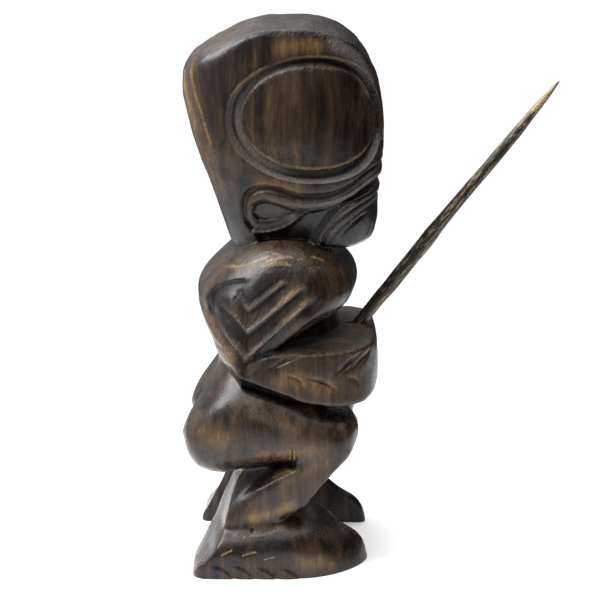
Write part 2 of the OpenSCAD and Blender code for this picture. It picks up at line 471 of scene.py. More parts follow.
def draw_head_grain(sheet):
    """The pared facet before the eye's upper end, the pale grain and darker stain, painted shade
    under the mouth and on the jaw, and a painted highlight at the back top corner.
    """
    sheet.hatch([(68, 293), (58, 290), (50, 285.5), (43, 279), (37, 270), (33, 258)], 9.5, 1.2)
    # Each mark is a line, its width and its amount.
    amber = [
        ([(150, 276), (145, 250), (136, 222), (128, 200)], 13.0, 1.0),
        ([(96, 287), (80, 289), (64, 288)], 8.0, 0.9),
        ([(112, 278), (100, 286)], 9.0, 0.5),
        ([(104, 216), (90, 216), (76, 213)], 7.0, 0.8),
    ]
    # These gold marks on the head's back top corner are rubbed-through stain and also a painted
    # highlight.
    gold = [
        ([(139, 284), (137, 266), (132, 246), (128, 232)], 3.5, 0.7),
        ([(149, 278), (147, 262), (144, 250)], 5.0, 0.72),
    ]
    # The first two dark marks, under the mouth, and the last two, on the back of the jaw, are
    # painted shade; the other two are darker stain.
    dark = [
        ([(30, 196), (44, 193), (62, 186)], 22.0, 1.6),
        ([(90, 192), (110, 190), (118, 192)], 9.0, 0.6),
        ([(118, 262), (122, 276), (110, 286)], 9.0, 0.7),
        ([(60, 262), (52, 245), (58, 230)], 20.0, 0.35),
        ([(140, 240), (128, 200), (122, 180)], 8.0, 0.5),
        ([(136, 196), (128, 182), (122, 172)], 13.0, 1.4),
    ]
    sheet.marks(gold, amber, dark)


# ---------------- trunk, arms and hands

# Rows for upright(), as for the head
SHOULDER_ROWS = [
    [104, 8, 23, 53, 2.4],
    [112, 6, 28, 54.5, 2.4],
    [120, 0, 35, 56, 2.5],
    [127, -8, 38, 57, 2.5],
    [133.5, -16, 41, 57.5, 2.6],
    [140, -26, 43.5, 58, 2.6],
    [147, -37, 44.6, 58, 2.6],
    [154, -41.2, 45, 57.5, 2.6],
    [160.5, -41.6, 41.8, 56.5, 2.5],
    [167, -39, 36.6, 54.5, 2.4],
    [174, -32.6, 29, 51.5, 2.3],
    [184, -24, 17, 46, 2.2],
    [192, -17, 10, 40, 2.2],
]
TRUNK_ROWS = [
    [56, -4, 34, 22, 2.4],
    [76, -18, 42, 38, 2.4],
    [96, -28, 38.5, 45, 2.6],
    [112, -33, 35, 45, 2.6],
    [130, -32, 38, 37, 2.2],
    [146, -31, 43, 38, 2.2],
    [160, -38, 41, 46, 2.3],
    [172, -31, 29, 40, 2.4],
    [186, -23, 17, 30, 2.4],
]
# The side outline of the forearms and hands: depth and height
HAND_SIDE = [
    [24, 114.5], [20, 120], [10, 125], [0, 128], [-14, 129.5], [-30, 130.5], [-44, 130.8],
    [-51, 129.2], [-54.2, 123], [-55.2, 112], [-55.4, 103], [-53, 98], [-46.5, 95.4],
    [-29, 95.8], [-14, 98.8], [0, 103.2], [12, 108.4], [20, 112.2],
]
HAND_TOP = 130.5
HAND_DROOP = 3.4
HAND_DROOP_AT = 48.0
# The arms and hands from above are a rounded box: middle depth, half sizes and squareness.
ARMS_MID_Y = 8.0
ARMS_HALF_W = 56.0
ARMS_HALF_D = 62.9
ARMS_SQUARE = 3.3
SHOULDER_TOP = 185.5
SHOULDER_CROWN_X = -26.0
ARM_BOTTOM = 104.0
TRUNK_TOP = 181.0
TRUNK_BOTTOM = 58.0


def shoulders_field():
    """The shoulders and upper arms, which slope off to both sides of a low crown."""
    top = SHOULDER_TOP - 0.0045 * (gx - SHOULDER_CROWN_X) ** 2
    body = cut(upright(SHOULDER_ROWS), gz - top, 11.0)
    return cut(body, ARM_BOTTOM - gz, 4.0)


def trunk_field():
    """The trunk from the hips to the neck."""
    return cut(cut(upright(TRUNK_ROWS), gz - TRUNK_TOP, 3.0), TRUNK_BOTTOM - gz, 6.0)


def hand_top(x):
    """Height of the flat on top of the hands, which droops to both sides."""
    return HAND_TOP - HAND_DROOP * np.abs(x / HAND_DROOP_AT) ** 1.6


def hands_field():
    """The forearms and the joined hands as one block."""
    side = outline_field(HAND_SIDE, Y[:, None], Z[None, :])[None, :, :]
    plan = rounded_box_field(gx, gy - ARMS_MID_Y, ARMS_HALF_W, ARMS_HALF_D, ARMS_SQUARE)
    field = cut(side, plan, 3.0)
    return cut(field, gz - hand_top(gx), 1.2)


def draw_chevrons(sheet):
    """Three nested V cuts in a sunk field on the upper arm. Each is a cliff, with a slope below
    that climbs out to the next crest."""
    edge = [(30, 133), (35, 139.5), (37.8, 146), (37.6, 152.5), (34.6, 158), (29.5, 161.6),
            (22, 164.6), (12, 167)]
    sheet.ledge(edge, 2.6, 17.0, ends=0.25, wall=1.5)
    # Left end, apex, right end, drop and how far the slope below runs
    chevrons = [
        ((23.2, 159.2), (16, 150), (-5.5, 166.8), 3.4, 8.3),
        ((32.5, 154.4), (16, 138), (-15.0, 164.2), 4.0, 9.8),
        ((39.0, 149.4), (17.3, 122.8), (-20.0, 158.4), 3.6, 7.0),
    ]
    for left, apex, right, drop, run in chevrons:
        part, u, v = sheet.near([left, apex, right], run + 2)
        away, along = [], []
        for end, turn in ((left, 1), (right, -1)):
            arm = np.array(end) - np.array(apex)
            length = np.hypot(*arm)
            arm = arm / length
            du, dv = u - apex[0], v - apex[1]
            away.append(turn * (du * arm[1] - dv * arm[0]))
            along.append((du * arm[0] + dv * arm[1]) / length)
        signed = np.maximum(*away)
        on_right = away[1] >= away[0]
        fade = smooth_step(1.04, 0.80, np.where(on_right, along[1], along[0]))
        cliff = smooth_step(-0.5, 1.0, signed) * np.clip(1 - signed / run, 0, 1) ** 0.8
        side_drop = drop * (0.72 + 0.28 * smooth_step(-3.5, 3.5, away[1] - away[0]))
        at_least(sheet.cut, side_drop * fade * cliff, part)
        # The crest and the hatched band below it are partly rubbed wear and partly a painted
        # highlight.
        crest = band(signed, -0.8, 0.9) * fade
        bar = smooth_step(-4.5, -1.5, signed) * smooth_step(0.8, -0.2, signed) * fade
        far_end = smooth_step(0.35, 0.75, along[1])
        at_least(sheet.gold, crest * np.where(on_right, 0.15 + 0.4 * far_end, 0.25), part)
        at_least(sheet.amber, 1.3 * bar * np.where(on_right, far_end, 0.2), part)
        at_least(sheet.rough, 0.9 * bar, part)
        at_least(sheet.pale, bar * np.where(on_right, 0.65, 0.2), part)
        # Painted shade at the foot of each cliff.
        foot = smooth_step(-0.2, 0.6, signed) * smooth_step(4.5, 1.8, signed)
        sheet.amber[part] -= 1.8 * foot * fade


def draw_forearm_cuts(sheet):
    """Short slanting knife cuts along the forearm and the side of the hand."""
    # The line of each cut, its width and its depth
    cuts = [
        ([(-14, 126.6), (-2, 121.8), (7.5, 116.5)], 3.6, 1.5),
        ([(-3, 115.8), (-10.8, 111.6), (-15.5, 105)], 3.6, 1.0),
        ([(-13, 114.2), (-24, 109.8), (-34, 103.6)], 4.2, 1.5),
        ([(-29, 114), (-37.5, 119), (-45, 126)], 4.8, 1.9),
        ([(-36, 114.6), (-43.5, 119.2), (-50, 126)], 4.4, 1.7),
        ([(-36.5, 113), (-41, 109.8), (-43.5, 105)], 3.4, 1.0),
    ]
    for points, width, depth in cuts:
        sheet.groove(points, width, depth, ends=0.5)
        sheet.paint(sheet.gold, [(u + 0.3, v - 0.4 * width) for u, v in points], 1.1, 0.55)
    shelf = [(2, 126.8), (-14, 128.6), (-30, 129.6), (-44, 129.9), (-53, 127)]
    sheet.hatch(shelf, 3.0, 0.9)
    sheet.paint(sheet.gold, shelf[:3], 1.2, 0.4)


def draw_foot_cuts(sheet):
    """Thin incised strokes on the side of the foot, and scallops along the sole."""
    strokes = [
        [(32.2, 13.4), (24.8, 17)],
        [(20.9, 13.5), (11.5, 16.1)],
        [(8.8, 11.4), (1.6, 13.3)],
    ]
    for stroke in strokes:
        sheet.groove(stroke, 1.5, 0.6, ends=0.3)
        sheet.paint(sheet.gold, stroke, 0.65, 1.5)
    scallops = [
        [(40, 8.6), (30.3, 5.0), (21.5, -4)],
        [(28, 8.4), (18.6, 5.0), (10.5, -4)],
        [(15, 7.8), (6.1, 4.4), (-1.2, -4)],
        [(2, 6.8), (-6.4, 4.2), (-15, -3)],
    ]
    for points in scallops:
        sheet.ledge(points[::-1], 1.1, 5.0, ends=0.4)
    pit = [(14.0, 25.2), (14.6, 26.6), (15.4, 25.6)]
    sheet.hollow(pit, 2.5, wall=0.8)


def draw_leg(sheet):
    """A short drying crack in the thigh, the foot's rubbed rim and the pale grain beside it."""
    sheet.groove([(-7.0, 75.5), (-7.3, 70), (-6.8, 64)], 1.5, 1.6, ends=0.25, gold=0.9)
    rim = [(28.5, 24.6), (21, 22.6), (15, 23.4), (5, 25.2), (-3, 29)]
    sheet.paint(sheet.gold, rim, 1.4, 0.75)
    sheet.paint(sheet.amber, [(20, 31), (8, 34), (-4, 39), (-12, 43)], 5.0, 1.2)
    sheet.paint(sheet.gold, [(-8.5, 60.5), (-2, 58), (5, 54)], 1.4, 0.75)


def draw_side_grain(sheet):
    """Where the stain is rubbed off the shoulder and where the pale grain shows, with painted shade
    in the sunk field and in the crease under the thigh, and painted reflections on the thigh and the
    foot.
    """
    # Each mark is a line, its width and its amount.
    gold = [
        ([(34, 168.5), (25, 170.5), (17, 173), (8, 177), (2, 178.5)], 1.5, 0.84),
        ([(12, 171.5), (6, 174), (-3, 175), (-9, 173)], 2.1, 0.78),
        ([(9, 175), (2, 176.8), (-5, 178), (-9, 177.2)], 1.8, 0.88),
        ([(4, 179.5), (0, 179), (-4, 177)], 1.4, 0.84),
        ([(-8, 176), (-16, 177), (-22, 175.4), (-27, 171.8)], 1.3, 0.95),
        ([(-13, 172.5), (-19, 172), (-25, 171.4)], 1.7, 0.72),
        ([(26, 124), (31, 131), (35, 139)], 2.2, 0.5),
    ]
    amber = [
        ([(24, 118), (34, 134), (41, 146)], 6.0, 1.0),
        ([(30, 172), (12, 175), (-8, 176), (-24, 172)], 8.0, 0.3),
        ([(8, 110), (-8, 112), (-22, 108), (-34, 108)], 9.0, 1.0),
        ([(44, 86), (36, 80), (24, 78)], 11.0, 1.1),
        ([(20, 74), (6, 72), (-10, 72), (-24, 72)], 9.0, 0.8),
        ([(2, 54), (-10, 58), (-26, 66)], 7.0, 0.6),
        ([(-8, 9), (-24, 8), (-36, 9)], 8.0, 0.8),
    ]
    # The first three dark marks are painted shade in the sunk field on the upper arm.
    dark = [
        ([(32.5, 152), (28.5, 145), (23, 138)], 6.0, 3.0),
        ([(34.5, 149), (33.5, 154), (28.5, 158), (21, 161.5)], 6.5, 2.6),
        ([(17, 158), (12, 161), (8, 164)], 5.5, 2.0),
        ([(8, 162), (-2, 170), (-10, 172)], 8.0, 0.8),
        ([(-20, 86), (0, 92), (22, 96), (40, 100)], 12.0, 0.6),
        ([(-20, 22), (-34, 17), (-44, 12)], 12.0, 0.5),
    ]
    sheet.marks(gold, amber, dark)
    # A painted reflection on the front of the foot and along the top of the thigh, both in the pale
    # layer.
    thigh_top_sheen = [(20, 97.5), (4, 90), (-14, 81)]
    sheet.paint(sheet.pale, [(-8, 27), (-22, 23), (-36, 17)], 9.0, 0.4)
    sheet.paint(sheet.rough, [(26, 171), (12, 175), (-8, 176), (-24, 172)], 11.0, 0.28)
    sheet.paint(sheet.pale, thigh_top_sheen, 8.0, 0.5)
    sheet.paint(sheet.amber, thigh_top_sheen, 8.0, 0.5)
    sheet.darken([(34, 14), (14, 16), (-6, 20)], 9.0, 0.8)
    # Painted shade in the crease between the thigh and the calf.
    sheet.darken([(20, 46), (8, 50)], 8.0, 0.5)
    sheet.darken([(24, 58), (10, 61), (-4, 63)], 5.0, 0.9)


# ---------------- hips, legs and feet

# Rows for lengthwise(): depth, bottom, top, half width and squareness
THIGH_ROWS = [
    [-42.8, 73, 83, 10, 2.3],
    [-39, 65, 87, 18, 2.4],
    [-31, 60, 90.5, 24, 2.3],
    [-18, 60, 96, 27.5, 2.3],
    [0, 59.5, 103, 29, 2.3],
    [18, 57, 109, 29.5, 2.3],
    [32, 53.5, 106, 27.5, 2.3],
    [41, 54.5, 98, 25, 2.2],
    [47, 58, 90.5, 21.5, 2.1],
    [51, 64, 84, 16, 2.1],
    [53.6, 72, 79, 8, 2.1],
]
THIGH_X = -30.0
THIGH_FRONT = -43.2
THIGH_BACK = 53.9
# The side outline of a calf: depth and height
CALF_SIDE = [
    [-38.5, 70], [-36.5, 65.3], [-33, 61], [-29.3, 57.2], [-22, 49], [-17, 42.5],
    [-15.5, 39.5], [-9, 35.5], [-3, 33], [8, 26.5], [17.6, 24.5], [26, 25.5], [27.5, 30.5],
    [20.5, 41.5], [12.5, 49], [1.7, 56], [-8.5, 61.5], [-13, 70], [-26, 73],
]
# The side outline of a lower leg behind its calf: depth and height
HEEL_SIDE = [
    [60, -1], [60, 70], [14, 70], [2, 64], [8, 40], [8, -1],
]
# How far back the heel reaches beside the gap, by height, and how fast it falls away outwards
HEEL_BACK = [[-2, 49], [3, 48.4], [9, 45.6], [14, 43.2], [19, 40.9], [24.5, 38],
             [39, 31.8], [54, 23.6], [70, 9.6]]
HEEL_TURN = [[-2, 0.0], [4, 0.05], [12, 0.17], [20, 0.22], [30, 0.27], [42, 0.20], [60, 0.10]]
# Height of a foot's ridge beside the gap, by depth
FOOT_TOP = [
    [-60, -4], [-54.5, 2], [-51.5, 7.5], [-47.5, 12.4], [-43, 15.6], [-37.5, 19], [-31.5, 23.2],
    [-26, 28], [-16.3, 34.8], [-4, 39], [10, 38], [26, 36.5], [60, 36],
]
# The outline of the right foot on the ground, left open towards the gap: width and depth
FOOT_PLAN = [
    [-10, -51], [-26, -49.8], [-33, -48.4], [-42, -43], [-50, -35], [-56.5, -24], [-60.5, -11],
    [-61.5, 3], [-61.6, 38], [-60.6, 43.5], [-57.6, 47], [-52, 48.6], [-44, 49], [-34, 48.8],
    [-26, 47], [-10, 46],
]
GAP_HALF_W = 25.0
GAP_TOP = 49.0
# Inner and outer faces of the calf and of the wood behind it
LEG_INNER_X = -17.0
CALF_FACE_X = -55.0
WEB_FACE_X = -51.0
# Width at which the foot's top starts to slope outwards
FOOT_RIDGE_X = -28.0
LAP_FACE_X = -58.0
# How far the joins between the figure's forms are rounded over
THIGH_FILLET = 14.0
SHOULDER_FILLET = 8.0
CALF_FILLET = 6.5
KNEE_FILLET = 3.0
WAIST_FILLET = 1.5
CRISP = 1.2


def heel_field():
    """The slanting flat behind each heel, as the half space in front of it."""
    limit = curve_of(HEEL_BACK, gz) - curve_of(HEEL_TURN, gz) * np.maximum(-gx - GAP_HALF_W, 0)
    return (gy - limit) * 0.83


def legs_field():
    """The calves, the wood behind them down to the heels, and the feet."""
    y2, z2 = Y[:, None], Z[None, :]
    plan = outline_field(polyline(FOOT_PLAN, 4), HALF_X[:, None], Y[None, :])[:, :, None]
    calf_face = CALF_FACE_X + 0.13 * np.abs(gy + 10.0)
    calf = cut(outline_field(CALF_SIDE, y2, z2),
               np.maximum(calf_face - gx, gx - LEG_INNER_X), 5.0)
    web_face = WEB_FACE_X + 9.0 * smooth_step(26, 60, gz)
    web = cut(outline_field(HEEL_SIDE, y2, z2),
              np.maximum(web_face - gx, gx - LEG_INNER_X), 5.0)
    # The top of the foot slopes outwards from a ridge beside the gap.
    ridge = sections(FOOT_TOP, Y)[0][:, None]
    lean = 1 / np.sqrt(1.2 + np.gradient(ridge[:, 0], Y) ** 2)[:, None]
    top = ridge - 0.46 * np.maximum(FOOT_RIDGE_X - gx, 0)
    foot = cut((gz - top) * lean, plan, 10.0)
    legs = cut(join(web, foot, 2.0), heel_field(), CRISP)
    return join(calf, legs, CALF_FILLET)


def gap_field():
    """The saw-cut gap between the feet, rounded over at the crotch."""
    return cut(-GAP_HALF_W - gx, gz - GAP_TOP, 10.0)


def thigh_field():
    """A thigh with its knee and buttock."""
    body = lengthwise(THIGH_ROWS, THIGH_X)
    # sections() holds its last row past the ends, so the ends are cut there.
    return cut(cut(body, THIGH_FRONT - gy, 3.0), gy - THIGH_BACK, 3.0)


def lap_field():
    """The deep dark gap between the forearm's underside and the thigh."""
    middle = [[-40, 90.5], [-20, 94.5], [-2, 100.8], [11, 105.2], [21, 109], [30, 113]]
    depth = 16.0 * smooth_step(28, 14, gy)
    thickness = 3.3 * smooth_step(29, 16, gy) - 5.0 * smooth_step(-4, -24, gy)
    slot = np.abs(gz - curve_of(middle, Y)[:, None]) - thickness
    return cut(slot, gx - LAP_FACE_X - depth, 1.5)


def figure_field():
    """The right half of the uncarved figure, and how far each point belongs to its head."""
    trunk = trunk_field()
    lower = join(trunk, thigh_field(), THIGH_FILLET)
    lower = join(lower, legs_field(), KNEE_FILLET)
    upper = join(trunk, shoulders_field(), SHOULDER_FILLET)
    upper = join(upper, hands_field(), CRISP)
    field = join(lower, upper, WAIST_FILLET)
    field = cut(field, -lap_field(), CRISP)
    head = head_field()
    head_share = smooth_step(2.5, 0.0, head - field)
    field = join(field, head, CRISP)
    field = cut(field, -gap_field(), 4.0)
    # Flat soles
    return cut(field, -gz, 0.8), head_share


def unit_slope(field):
    """The field divided by its own slope, so that it measures true distance near 0."""
    gradient = np.gradient(field, VOXEL)
    steepness = np.sqrt(sum(part * part for part in gradient))
    return np.clip(field / np.maximum(steepness, 0.35), -8.0, 8.0)


def carve(field, head_share, head_sheet, side_sheet):
    """Adds both sheets' cuts to the field, near its surface only."""
    ix, iy, iz = np.nonzero(np.abs(field) < 7.0)
    x, y, z = HALF_X[ix], Y[iy], Z[iz]
    share = head_share[ix, iy, iz]
    under_crown = smooth_step(-0.5, 2.0, crown_height(x, y) - z)
    head = head_sheet.sample(head_sheet.cut, way_round_head(x, y, z), z) * under_crown
    body = side_sheet.sample(side_sheet.cut, y, z) * smooth_step(26, 40, np.abs(x))
    field[ix, iy, iz] += head * share + body * (1 - share)
    return field


def mesh_from_field(field, name):
    """A mesh of the whole figure from the field of its right half."""
    whole = np.concatenate([field, field[-2::-1]], axis=0)
    grid = openvdb.FloatGrid(8.0)
    grid.copyFromArray(np.ascontiguousarray(whole, dtype=np.float32))
    points, quads = grid.convertToQuads(isovalue=0.0)
    points = points * VOXEL + GRID_LOW
    mesh = bpy.data.meshes.new(name)
    mesh.vertices.add(len(points))
    mesh.vertices.foreach_set("co", points.astype(np.float32).ravel())
    mesh.loops.add(len(quads) * 4)
    mesh.loops.foreach_set("vertex_index", quads[:, ::-1].astype(np.int32).ravel())
    mesh.polygons.add(len(quads))
    mesh.polygons.foreach_set("loop_start", np.arange(0, len(quads) * 4, 4, dtype=np.int32))
    mesh.update(calc_edges=True)
    mesh.validate()
    return mesh


def vertices_of(mesh):
    """The places of a mesh's points."""
    points = np.empty(len(mesh.vertices) * 3, dtype=np.float32)
    mesh.vertices.foreach_get("co", points)
    return points.reshape(-1, 3).astype(float)


def move_vertices(mesh, points):
    """Moves a mesh's points to new places."""
    mesh.vertices.foreach_set("co", points.astype(np.float32).ravel())
    mesh.update()


def box_blur(values, reach):
    """The mean over a cube that reaches a number of cells each way."""
    for axis in range(3):
        count = values.shape[axis]
        padding = [(reach + 1, reach) if k == axis else (0, 0) for k in range(3)]
        total = np.cumsum(np.pad(values, padding, mode="reflect"), axis=axis, dtype=np.float32)
        span = 2 * reach + 1
        high = np.take(total, range(span, span + count), axis=axis)
        low = np.take(total, range(count), axis=axis)
        values = (high - low) / span
    return values


def between_cells(values, cell, part):
    """Values at points that lie some part of the way from one cell to the next."""
    total = np.zeros(len(cell))
    for corner in range(8):
        step = np.array([(corner >> k) & 1 for k in range(3)])
        weight = np.prod(np.where(step, part, 1 - part), axis=1)
        i, j, k = ((cell + step) % values.shape).T
        total += weight * values[i, j, k]
    return total


def sample_grid(values, points):
    """Values of a half grid at points on either side of the middle plane."""
    mirrored = points * 1.0
    mirrored[:, 0] = -np.abs(points[:, 0])
    at = np.clip((mirrored - GRID_LOW) / VOXEL, 0, np.array(values.shape) - 1.001)
    cell = at.astype(int)
    return between_cells(values, cell, at - cell)


def lumps(points, size, seed):
    """Smooth random values between -1 and 1, with bumps of about the given size."""
    cells = 24
    table = np.random.default_rng(seed).uniform(-1, 1, (cells, cells, cells))
    cell = np.floor(points / size).astype(int)
    return between_cells(table, cell, smooth_step(0, 1, points / size - cell))


# Height of the bumps in millimetres, their size and the seed of their draw
UNEVEN = [(0.40, 21.0, 3), (0.20, 8.0, 4), (0.07, 3.0, 5)]
UNEVEN_CROWN = [(0.5, 13.0, 6), (0.25, 5.0, 7)]


def hand_carve(mesh):
    """Slight unevenness, different on the two sides, as a hand tool leaves."""
    points = vertices_of(mesh)
    normals = np.empty(len(points) * 3, dtype=np.float32)
    mesh.vertex_normals.foreach_get("vector", normals)
    crown = smooth_step(-1.0, 3.0, points[:, 2] - crown_height(points[:, 0], points[:, 1]) + 2.0)
    amount = sum(height * lumps(points, size, seed) for height, size, seed in UNEVEN)
    amount += crown * sum(height * lumps(points, size, seed) for height, size, seed in UNEVEN_CROWN)
    above_floor = smooth_step(0.2, 4.0, points[:, 2])
    move_vertices(mesh, points + normals.reshape(-1, 3) * (amount * above_floor)[:, None])


def decimate(figure, target):
    """Fewer triangles where the surface is plain, down to a target for the whole mesh."""
    triangles = 2 * len(figure.data.polygons)
    modifier = figure.modifiers.new("decimate", "DECIMATE")
    modifier.ratio = min(1.0, target / triangles)
    fine = figure.data
    figure.data = bpy.data.meshes.new_from_object(
        figure.evaluated_get(bpy.context.evaluated_depsgraph_get())
    )
    figure.modifiers.clear()
    bpy.data.meshes.remove(fine)


def add_layer(mesh, name, values):
    """Gives each point of a mesh a value, for a material to read."""
    layer = mesh.attributes.new(name, "FLOAT", "POINT")
    layer.data.foreach_set("value", values.astype(np.float32))


def paint_layers(mesh, relief, head_share, head_sheet, side_sheet):
    """The colour layers that the stained wood reads."""
    points = vertices_of(mesh)
    x, y, z = points.T
    way = way_round_head(x, y, z)
    share = sample_grid(head_share, points)
    outer = smooth_step(22, 36, np.abs(x))
    under_crown = smooth_step(-0.5, 2.0, crown_height(x, y) - z)
    on_crown = smooth_step(3.0, 0.5, crown_height(x, y) - z) * share
    for name in ("gold", "amber", "rough", "pale"):
        head = head_sheet.sample(getattr(head_sheet, name), way, z) * under_crown
        body = side_sheet.sample(getattr(side_sheet, name), y, z) * outer
        values = head * share + body * (1 - share)
        if name == "amber":
            gap_face = smooth_step(28.0, 25.8, np.abs(x)) * smooth_step(50, 45, z)
            values = values + on_crown * (1.1 * smooth_step(-12, 34, y) - 1.0) - 0.3 * gap_face
        if name == "rough":
            crown = 0.6 * on_crown
            palm = 0.7 * smooth_step(2.0, 0.5, np.abs(z - hand_top(x))) * (np.abs(x) < 57)
            values = np.maximum(values, np.maximum(crown, palm))
        add_layer(mesh, name, values)
    add_layer(mesh, "edge", sample_grid(relief, points))


BORE_R = 4.3
BORE_DEPTH = 24.0
MOUTH_Y, MOUTH_Z = -43.5, 129.5
SLOT_HALF_W = 3.9


def bore_field():
    """The blind hole for the spear, drilled down into the hands."""
    dy, dz = gy - MOUTH_Y, gz - MOUTH_Z
    out = dy * SPEAR_AXIS[1] + dz * SPEAR_AXIS[2]
    across = dy * SPEAR_AXIS[2] - dz * SPEAR_AXIS[1]
    bore = cut(np.hypot(gx, across) - BORE_R, np.abs(out) - BORE_DEPTH, 0.8)
    # The mouth is opened out backwards into a short slot.
    slot = rounded_box_field(gx, (dy - 2.0) * 0.62, SLOT_HALF_W, SLOT_HALF_W, 2.0)
    return join(bore, cut(slot, np.abs(dz + 2.0) - 5.0, 1.0), 1.0)


def drawing(low, high, *parts):
    """A sheet with each part drawn on it in turn."""
    sheet = Sheet(low, high)
    for draw in parts:
        draw(sheet)
    return sheet


def add_object(name, data):
    """A new object in the scene."""
    made = bpy.data.objects.new(name, data)
    bpy.context.scene.collection.objects.link(made)
    return made


def build_figure():
    """The carved figure, standing where the CAD figure stands."""
    # The head's sheet is way round it by height, and the body's is depth by height.
    head_sheet = drawing(
        (-6.0, 170.0), (180.0, 306.0), draw_mouth, draw_nose, draw_eye, draw_head_grain
    )
    side_sheet = drawing(
        (-60.0, -3.0), (60.0, 186.0),
        draw_chevrons, draw_forearm_cuts, draw_foot_cuts, draw_leg, draw_side_grain,
    )
    field, head_share = figure_field()
    field = carve(unit_slope(field), head_share, head_sheet, side_sheet)
    field = cut(field, -bore_field(), 0.8)
    relief = box_blur(field, max(1, round(2.2 / VOXEL))) - field
    mesh = mesh_from_field(field, "figure_carving")
    hand_carve(mesh)
    figure = add_object("figure_carving", mesh)
    decimate(figure, FIGURE_TRIANGLES)
    mesh = figure.data
    mesh.name = "figure_carving"
    mesh.polygons.foreach_set("use_smooth", np.ones(len(mesh.polygons), dtype=bool))
    paint_layers(mesh, relief, head_share, head_sheet, side_sheet)
    points = vertices_of(mesh) * MM
    points[:, 1] += AXIS_Y
    move_vertices(mesh, points)
    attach(figure, "figure")
    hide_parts("carved_figure")
    return figure


# ---------------- materials


class Nodes:
    """Builds a tree of nodes. Most methods add a node and return its output socket."""

    def __init__(self, owner):
        owner.use_nodes = True
        self.tree = owner.node_tree

    def put(self, socket, value):
        """Links a socket to another, or sets its value."""
        if isinstance(value, bpy.types.NodeSocket):
            self.tree.links.new(value, socket)
        elif isinstance(value, tuple) and len(value) == 3 and socket.type == "RGBA":
            socket.default_value = (*value, 1)
        else:
            socket.default_value = value

    def node(self, kind, inputs, **settings):
        """A node of a kind, with its inputs and settings."""
        node = self.tree.nodes.new(kind)
        for name, value in settings.items():
            setattr(node, name, value)
        for key, value in inputs.items():
            self.put(node.inputs[key], value)
        return node

    def between(self, value, low, high, to_low=0.0, to_high=1.0, kind="SMOOTHSTEP"):
        """A value's way from low to high, as a value from to_low to to_high."""
        inputs = {"Value": value, "From Min": low, "From Max": high,
                  "To Min": to_low, "To Max": to_high}
        return self.node("ShaderNodeMapRange", inputs, interpolation_type=kind).outputs[0]


class Recipe(Nodes):
    """The nodes of one material."""

    def __init__(self, name):
        self.material = bpy.data.materials.new(name)
        super().__init__(self.material)
        self.place = self.node("ShaderNodeTexCoord", {}).outputs["Object"]

    def shade(self, **values):
        """Sets the shader's inputs. An underscore stands for a space in an input's name."""
        shader = self.tree.nodes["Principled BSDF"]
        for name, value in values.items():
            self.put(shader.inputs[name.replace("_", " ")], value)

    def noise(self, size, detail=2.0, roughness=0.5, turn=(0, 0, 0), vector=None):
        """Noise in cells of the given size in millimetres along X, Y and Z."""
        turned = self.node("ShaderNodeMapping", {0: vector or self.place, "Rotation": turn})
        scale = tuple(1000.0 / length for length in size)
        cells = self.node("ShaderNodeMapping", {0: turned.outputs[0], "Scale": scale})
        inputs = {0: cells.outputs[0], "Scale": 1.0, "Detail": detail, "Roughness": roughness}
        return self.node("ShaderNodeTexNoise", inputs).outputs["Fac"]

    def layer(self, name):
        """One of the layers that add_layer() made."""
        return self.node("ShaderNodeAttribute", {}, attribute_name=name).outputs["Fac"]

    def math(self, operation, a, b=0.0, c=0.0):
        """An operation on up to three values."""
        return self.node("ShaderNodeMath", {0: a, 1: b, 2: c}, operation=operation).outputs[0]

    def weighted(self, *terms):
        """A sum of sockets, each with its weight."""
        (first, weight), *others = terms
        total = self.math("MULTIPLY", first, weight)
        for socket, weight in others:
            total = self.math("MULTIPLY_ADD", socket, weight, total)
        return total

    def mix(self, amount, a, b):
        """Colour a where the amount is 0, and b where it is 1."""
        node = self.node("ShaderNodeMix", {0: amount}, data_type="RGBA")
        self.put(node.inputs[6], a)
        self.put(node.inputs[7], b)
        return node.outputs[2]

    def coat(self, colour, amount, share, over):
        """A colour with a share of another over it, by an amount."""
        return self.mix(self.math("MULTIPLY", amount, share), colour, over)

    def bump(self, height, distance, strength, below=None):
        """A normal that is tilted by a height in millimetres."""
        inputs = {"Height": height, "Distance": distance * MM, "Strength": strength}
        if below is not None:
            inputs["Normal"] = below
        return self.node("ShaderNodeBump", inputs).outputs[0]


